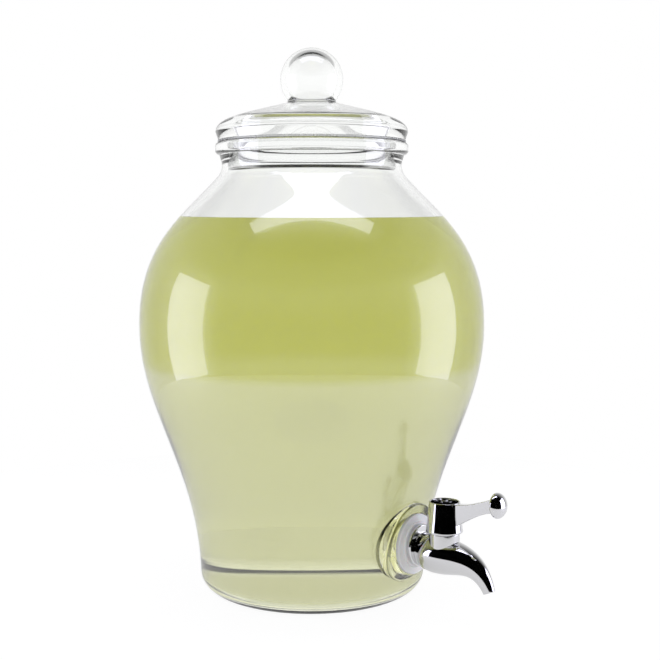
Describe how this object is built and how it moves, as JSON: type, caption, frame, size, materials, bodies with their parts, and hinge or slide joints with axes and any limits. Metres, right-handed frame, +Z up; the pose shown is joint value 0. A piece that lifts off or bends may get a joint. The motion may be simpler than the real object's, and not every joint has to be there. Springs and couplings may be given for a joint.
{
  "type": "detergent dispenser bottle",
  "caption": "Clear glass dispenser jar of liquid detergent with a ball-knobbed glass lid and a chromed quarter-turn tap low on its side.",
  "frame": {"origin": "centre of the jar's flat base, on the jar's axis", "axes": "+Z up along the jar's axis, the tap points along -Y"},
  "size_m": [0.22, 0.2551, 0.3453],
  "materials": {
    "clear_glass": "clear pressed glass, gloss",
    "detergent": "clear yellow-green liquid",
    "clear_silicone": "clear silicone",
    "white_silicone": "white silicone, satin",
    "natural_plastic": "undyed translucent moulding",
    "chrome": "bright chrome plate",
    "brass": "turned brass",
    "black_rubber": "greased rubber",
    "steel": "stainless steel"
  },
  "bodies": {
    "vessel": {"jar": "clear_glass", "detergent_fill": "detergent", "outer_washer": "white_silicone", "inner_washer": "clear_silicone", "backing_nut": "natural_plastic", "tap_body": "chrome", "retaining_ring": "brass"},
    "cover": {"lid": "clear_glass", "lid_gasket": "clear_silicone"},
    "lever": {"tap_handle": "chrome", "lever_button": "chrome", "handle_screw": "steel", "valve_plug": "brass", "upper_oring": "black_rubber", "lower_oring": "black_rubber"}
  },
  "joints": [
    {"name": "lid_lift", "type": "slide", "parent": "vessel", "child": "cover", "axis": [0, 0, 1], "range_m": [0, 0.06]},
    {"name": "lever_turn", "type": "hinge", "parent": "vessel", "child": "lever", "pos_m": [0, -0.10429, 0.0519], "axis": [0, 0, 1], "range_deg": [0, 90]}
  ]
}
